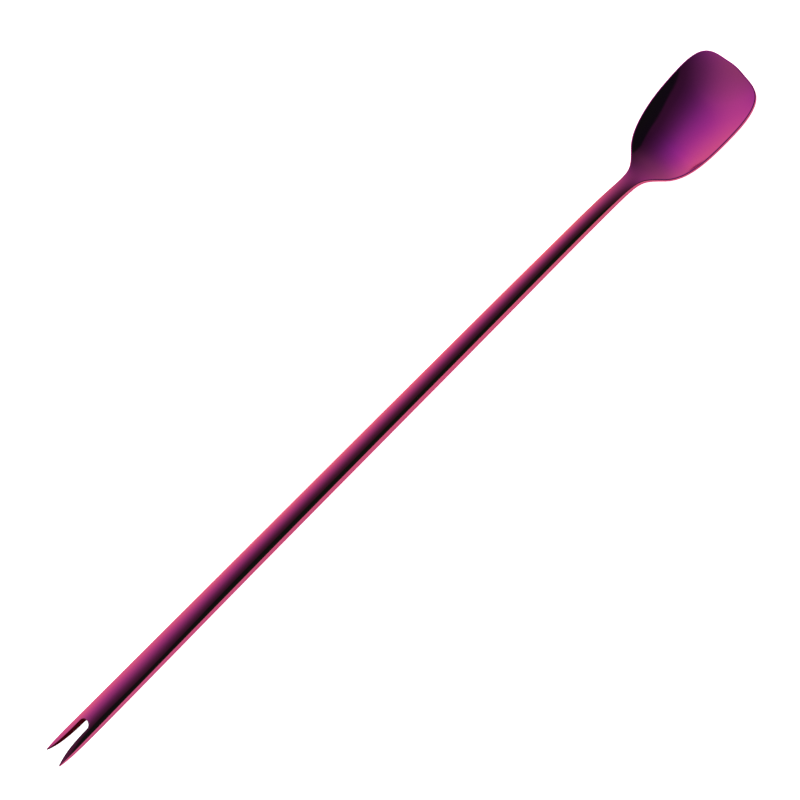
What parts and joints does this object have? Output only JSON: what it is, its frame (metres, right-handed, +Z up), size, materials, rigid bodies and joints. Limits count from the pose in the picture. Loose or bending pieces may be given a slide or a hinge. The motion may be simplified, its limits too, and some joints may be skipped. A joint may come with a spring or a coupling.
{
  "type": "bar spoon",
  "caption": "Long bar spoon with a spade-shaped bowl, a slim half-round handle and a two-tine fork end, in polished purple metal.",
  "frame": {"origin": "on the surface the spoon lies on, under the middle of its overall length and width", "axes": "+X runs along the spoon from the fork end to the bowl, +Z is up out of the open bowl, +Y is across; the XZ plane is the plane of symmetry"},
  "size_m": [0.3, 0.0288, 0.0103],
  "materials": {
    "coated_steel": "mirror-polished stainless steel with a purple to magenta interference coating",
    "braze": "silver braze, hidden inside the joints"
  },
  "bodies": {
    "root": {"bowl": "coated_steel", "stem": "coated_steel", "fork_end": "coated_steel", "bowl_braze": "braze", "fork_braze": "braze"}
  },
  "joints": []
}
